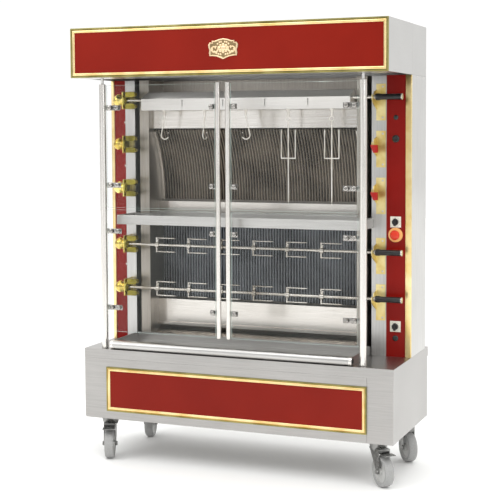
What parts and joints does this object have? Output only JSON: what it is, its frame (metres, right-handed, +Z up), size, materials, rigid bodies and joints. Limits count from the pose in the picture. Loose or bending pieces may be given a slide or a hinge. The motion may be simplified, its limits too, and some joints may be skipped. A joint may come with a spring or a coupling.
{
  "type": "rotisserie oven",
  "caption": "Free-standing wall rotisserie oven with glass doors, turning spits and hooks, canopy hood, enamel panels and a wheeled base.",
  "frame": {"origin": "on the floor, under the middle of the hood's width and of the whole depth", "axes": "+Z up, +X to the right as seen from the front, front of the oven towards -Y"},
  "size_m": [1.3797, 0.641, 1.843],
  "materials": {
    "stainless": "brushed, fine grain",
    "polished_steel": "bright rolled",
    "red_enamel": "glossy vitreous enamel",
    "brass_trim": "polished drawn section",
    "brass_emblem": "satin cast relief",
    "brass_drive": "polished cast",
    "cast_radiant": "heat-stained cast ribs",
    "zinc_steel": "zinc plated",
    "rod_steel": "smooth drawn",
    "tube_steel": "polished tube",
    "black_handle": "heat-proof moulded",
    "door_glass": "clear tempered",
    "control_plate": "plain moulded plate",
    "black_knob": "satin moulded",
    "emergency_red": "glossy mushroom",
    "dark_button": "satin moulded",
    "grey_tyre": "non-marking grey tread",
    "brake_pedal": "black coated"
  },
  "bodies": {
    "oven": {"base_cabinet": "stainless", "base_top_plate": "stainless", "base_front_fascia": "stainless", "base_red_panel": "red_enamel", "caster_plates": "zinc_steel", "hood_shell": "stainless", "hood_rear_housing": "stainless", "hood_red_panel": "red_enamel", "hood_emblem": "brass_emblem", "brass_mouldings": "brass_trim", "left_column": "stainless", "right_column": "stainless", "column_red_panels": "red_enamel", "rear_panel": "stainless", "spit_brackets": "brass_drive", "panel_screws": "zinc_steel", "chamber_frame": "stainless", "reflector_sheets": "polished_steel", "rib_plates": "cast_radiant", "gas_burners": "zinc_steel", "middle_drip_tray": "stainless", "drive_heads": "brass_drive", "spit_gearmotors": "zinc_steel", "rail_beam": "rod_steel", "control_bezels": "control_plate"},
    "door_left": {"door_left_frame": "tube_steel", "door_left_glass": "door_glass"},
    "door_right": {"door_right_frame": "tube_steel", "door_right_glass": "door_glass"},
    "bottom_tray": {"bottom_drip_tray": "stainless"},
    "drive_1": {"fork_1": "brass_drive", "rail_shaft": "rod_steel", "handle_1": "black_handle"},
    "drive_2": {"fork_2": "brass_drive"},
    "drive_3": {"fork_3": "brass_drive"},
    "drive_4": {"fork_4": "brass_drive", "spit_4": "rod_steel", "handle_4": "black_handle"},
    "drive_5": {"fork_5": "brass_drive", "spit_5": "rod_steel", "handle_5": "black_handle"},
    "hook_1": {"hook_1": "rod_steel"},
    "hook_2": {"hook_2": "rod_steel"},
    "hook_3": {"hook_3": "rod_steel"},
    "hook_4": {"hook_4": "rod_steel"},
    "hook_5": {"hook_5": "rod_steel"},
    "swivel_front_left": {"swivel_front_left": "zinc_steel"},
    "wheel_front_left": {"wheel_front_left": "grey_tyre"},
    "swivel_front_right": {"swivel_front_right": "zinc_steel"},
    "wheel_front_right": {"wheel_front_right": "grey_tyre"},
    "swivel_rear_left": {"swivel_rear_left": "zinc_steel"},
    "wheel_rear_left": {"wheel_rear_left": "grey_tyre"},
    "swivel_rear_right": {"swivel_rear_right": "zinc_steel"},
    "wheel_rear_right": {"wheel_rear_right": "grey_tyre"},
    "brake_front_left": {"brake_front_left": "brake_pedal"},
    "brake_front_right": {"brake_front_right": "brake_pedal"},
    "upper_selector": {"upper_selector": "black_knob"},
    "lower_selector": {"lower_selector": "black_knob"},
    "emergency_button": {"emergency_button": "emergency_red"},
    "start_button": {"start_button": "dark_button"}
  },
  "joints": [
    {"name": "door_left_hinge", "type": "hinge", "parent": "oven", "child": "door_left", "pos_m": [-0.6055, -0.1965, 1.047], "axis": [0, 0, 1], "range_deg": [-110, 0]},
    {"name": "door_right_hinge", "type": "hinge", "parent": "oven", "child": "door_right", "pos_m": [0.5515, -0.1965, 1.047], "axis": [0, 0, 1], "range_deg": [0, 110]},
    {"name": "bottom_tray_slide", "type": "slide", "parent": "oven", "child": "bottom_tray", "axis": [0, -1, 0], "range_m": [0, 0.25]},
    {"name": "spit_turn_1", "type": "hinge", "parent": "oven", "child": "drive_1", "pos_m": [-0.622, -0.0165, 1.548], "axis": [1, 0, 0], "continuous": true},
    {"name": "spit_turn_2", "type": "hinge", "parent": "oven", "child": "drive_2", "pos_m": [-0.622, -0.0165, 1.356], "axis": [1, 0, 0], "continuous": true},
    {"name": "spit_turn_3", "type": "hinge", "parent": "oven", "child": "drive_3", "pos_m": [-0.622, -0.0165, 1.164], "axis": [1, 0, 0], "continuous": true},
    {"name": "spit_turn_4", "type": "hinge", "parent": "oven", "child": "drive_4", "pos_m": [-0.622, -0.0165, 0.916], "axis": [1, 0, 0], "continuous": true},
    {"name": "spit_turn_5", "type": "hinge", "parent": "oven", "child": "drive_5", "pos_m": [-0.622, -0.0165, 0.724], "axis": [1, 0, 0], "continuous": true},
    {"name": "hook_turn_1", "type": "hinge", "parent": "oven", "child": "hook_1", "pos_m": [-0.399, -0.0165, 1.5], "axis": [0, 0, 1], "continuous": true},
    {"name": "hook_turn_2", "type": "hinge", "parent": "oven", "child": "hook_2", "pos_m": [-0.2085, -0.0165, 1.5], "axis": [0, 0, 1], "continuous": true},
    {"name": "hook_turn_3", "type": "hinge", "parent": "oven", "child": "hook_3", "pos_m": [-0.018, -0.0165, 1.5], "axis": [0, 0, 1], "continuous": true},
    {"name": "hook_turn_4", "type": "hinge", "parent": "oven", "child": "hook_4", "pos_m": [0.1725, -0.0165, 1.5], "axis": [0, 0, 1], "continuous": true},
    {"name": "hook_turn_5", "type": "hinge", "parent": "oven", "child": "hook_5", "pos_m": [0.363, -0.0165, 1.5], "axis": [0, 0, 1], "continuous": true},
    {"name": "swivel_turn_front_left", "type": "hinge", "parent": "oven", "child": "swivel_front_left", "pos_m": [-0.605, -0.1565, 0.17], "axis": [0, 0, 1], "continuous": true},
    {"name": "wheel_roll_front_left", "type": "hinge", "parent": "swivel_front_left", "child": "wheel_front_left", "pos_m": [-0.59076, -0.19173, 0.0625], "axis": [0.9272, 0.3746, 0], "continuous": true},
    {"name": "brake_press_front_left", "type": "hinge", "parent": "swivel_front_left", "child": "brake_front_left", "pos_m": [-0.59226, -0.18802, 0.136], "axis": [0.9272, 0.3746, 0], "range_deg": [0, 12]},
    {"name": "swivel_turn_front_right", "type": "hinge", "parent": "oven", "child": "swivel_front_right", "pos_m": [0.605, -0.1565, 0.17], "axis": [0, 0, 1], "continuous": true},
    {"name": "wheel_roll_front_right", "type": "hinge", "parent": "swivel_front_right", "child": "wheel_front_right", "pos_m": [0.6314, -0.18383, 0.0625], "axis": [0.7193, 0.6947, 0], "continuous": true},
    {"name": "brake_press_front_right", "type": "hinge", "parent": "swivel_front_right", "child": "brake_front_right", "pos_m": [0.62862, -0.18096, 0.136], "axis": [0.7193, 0.6947, 0], "range_deg": [0, 12]},
    {"name": "swivel_turn_rear_left", "type": "hinge", "parent": "oven", "child": "swivel_rear_left", "pos_m": [-0.605, 0.2455, 0.17], "axis": [0, 0, 1], "continuous": true},
    {"name": "wheel_roll_rear_left", "type": "hinge", "parent": "swivel_rear_left", "child": "wheel_rear_left", "pos_m": [-0.59517, 0.2088, 0.0625], "axis": [0.9659, 0.2588, 0], "continuous": true},
    {"name": "swivel_turn_rear_right", "type": "hinge", "parent": "oven", "child": "swivel_rear_right", "pos_m": [0.605, 0.2455, 0.17], "axis": [0, 0, 1], "continuous": true},
    {"name": "wheel_roll_rear_right", "type": "hinge", "parent": "swivel_rear_right", "child": "wheel_rear_right", "pos_m": [0.6284, 0.21556, 0.0625], "axis": [0.788, 0.6157, 0], "continuous": true},
    {"name": "upper_selector_turn", "type": "hinge", "parent": "oven", "child": "upper_selector", "pos_m": [0.62, 0.03, 1.038], "axis": [0, 1, 0], "range_deg": [0, 90]},
    {"name": "lower_selector_turn", "type": "hinge", "parent": "oven", "child": "lower_selector", "pos_m": [0.62, 0.03, 0.607], "axis": [0, 1, 0], "range_deg": [0, 90]},
    {"name": "emergency_press", "type": "slide", "parent": "oven", "child": "emergency_button", "axis": [0, 1, 0], "range_m": [0, 0.004], "stiffness_N_per_m": 400, "springref_m": -0.002},
    {"name": "start_press", "type": "slide", "parent": "oven", "child": "start_button", "axis": [0, 1, 0], "range_m": [0, 0.003], "stiffness_N_per_m": 300, "springref_m": -0.002}
  ],
  "couplings": [
    {"joint": "hook_turn_1", "follows": "spit_turn_1", "ratio": -1},
    {"joint": "hook_turn_2", "follows": "spit_turn_1", "ratio": -1},
    {"joint": "hook_turn_3", "follows": "spit_turn_1", "ratio": -1},
    {"joint": "hook_turn_4", "follows": "spit_turn_1", "ratio": -1},
    {"joint": "hook_turn_5", "follows": "spit_turn_1", "ratio": -1}
  ]
}
